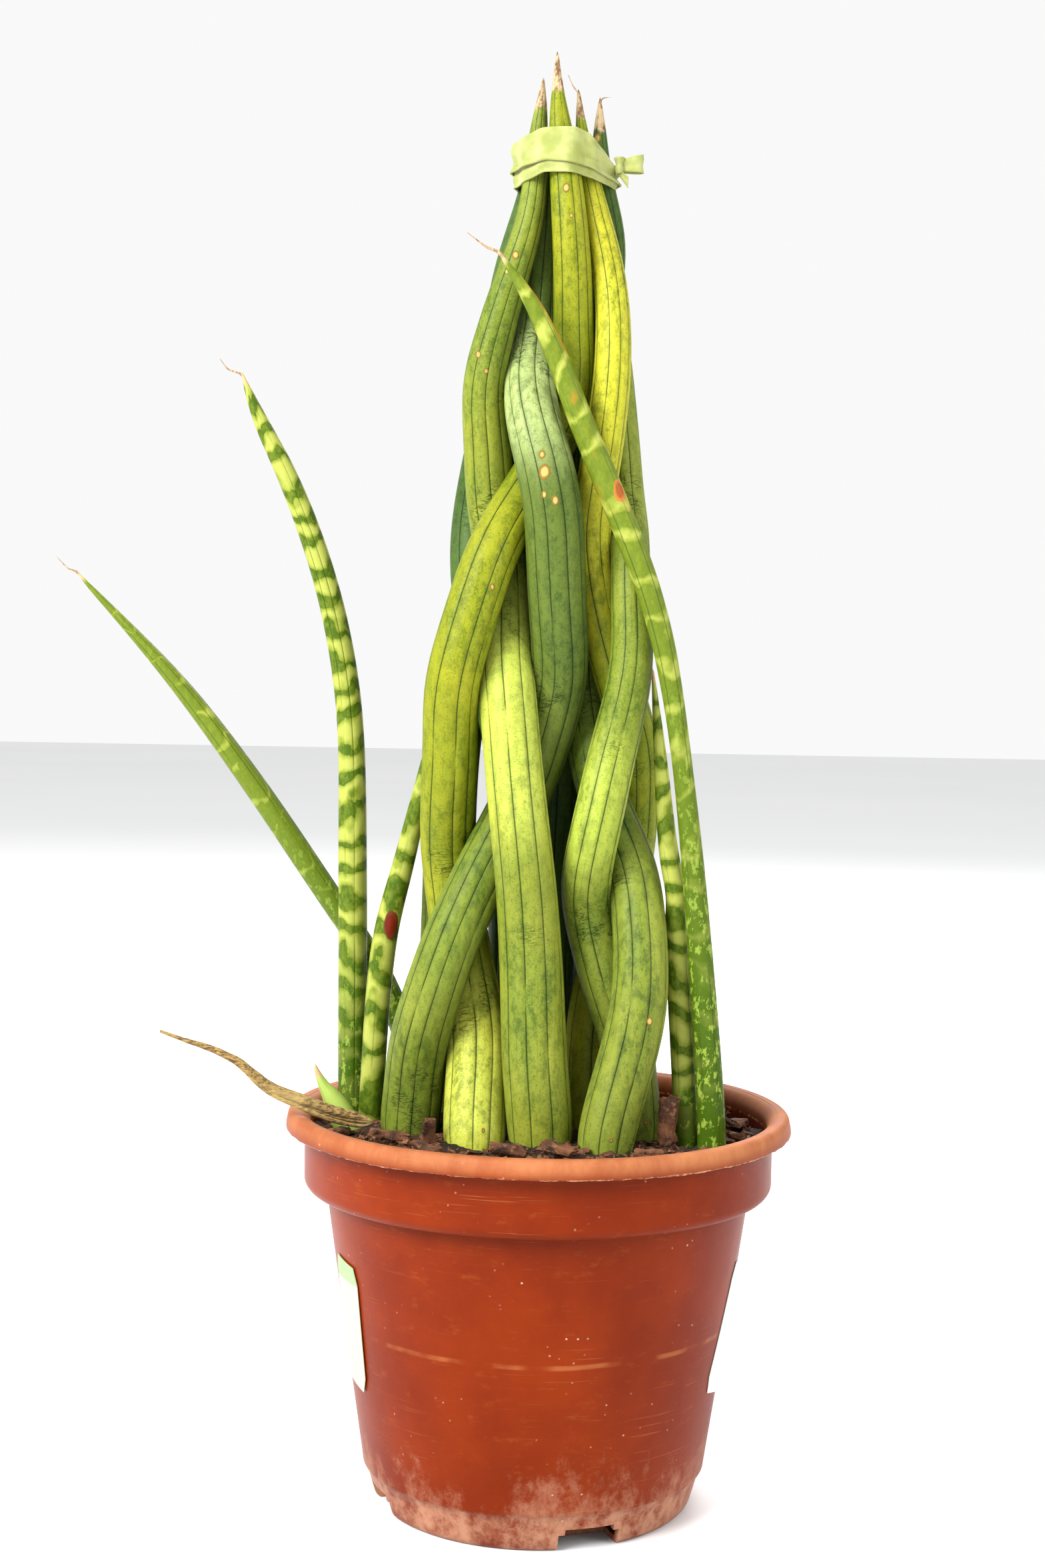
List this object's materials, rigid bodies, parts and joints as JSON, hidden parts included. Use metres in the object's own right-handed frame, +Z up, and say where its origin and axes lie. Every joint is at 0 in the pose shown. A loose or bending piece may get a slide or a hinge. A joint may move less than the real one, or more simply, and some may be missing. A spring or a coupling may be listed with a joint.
{
  "type": "potted snake plant",
  "caption": "Cylindrical snake plant in a terracotta-coloured nursery pot, its thick leaves plaited upright and tied near the tips, with loose young leaves beside them.",
  "frame": {"origin": "on the pot's axis, on the flat face that the pot stands on", "axes": "+Z up; the front of the plant faces -Y, +X is the plant's right side as seen from the front"},
  "size_m": [0.2824, 0.19, 0.535],
  "materials": {
    "pot_terracotta_plastic": "injection-moulded plastic, weathered",
    "soil_potting_mix": "dark crumbly potting mix",
    "leaf_green": "waxy grooved living leaf, mid green",
    "leaf_blue_green": "waxy grooved living leaf, blue-green",
    "leaf_yellow_green": "waxy grooved living leaf, yellow-green",
    "leaf_young_green": "smooth young leaf, pale with dark green bands",
    "tie_green_ribbon": "woven green ribbon",
    "dried_leaf": "dried fibrous leaf",
    "label_paper": "blank matt sticker",
    "bark_mulch": "rough bark"
  },
  "bodies": {
    "root": {"pot": "pot_terracotta_plastic", "soil": "soil_potting_mix", "leaf_plait_a1": "leaf_yellow_green", "leaf_plait_a2": "leaf_blue_green", "leaf_plait_a3": "leaf_yellow_green", "leaf_plait_b1": "leaf_yellow_green", "leaf_plait_b2": "leaf_green", "leaf_plait_b3": "leaf_blue_green", "leaf_plait_c1": "leaf_green", "leaf_plait_c2": "leaf_blue_green", "leaf_plait_c3": "leaf_green", "leaf_plait_d1": "leaf_green", "leaf_plait_d2": "leaf_green", "leaf_plait_d3": "leaf_green", "leaf_young_right": "leaf_young_green", "leaf_young_slim": "leaf_young_green", "leaf_young_left": "leaf_young_green", "leaf_young_inner": "leaf_young_green", "leaf_young_leaning": "leaf_young_green", "shoot_young": "leaf_young_green", "tie_ribbon": "tie_green_ribbon", "tie_knot": "tie_green_ribbon", "dried_leaf": "dried_leaf", "label_left": "label_paper", "label_right": "label_paper", "bark_01": "bark_mulch", "bark_02": "bark_mulch", "bark_03": "bark_mulch", "bark_04": "bark_mulch", "bark_05": "bark_mulch", "bark_06": "bark_mulch", "bark_07": "bark_mulch", "bark_08": "bark_mulch", "bark_09": "bark_mulch", "bark_10": "bark_mulch", "bark_11": "bark_mulch", "bark_12": "bark_mulch", "bark_13": "bark_mulch", "bark_14": "bark_mulch", "bark_15": "bark_mulch", "bark_16": "bark_mulch", "bark_17": "bark_mulch"}
  },
  "joints": []
}
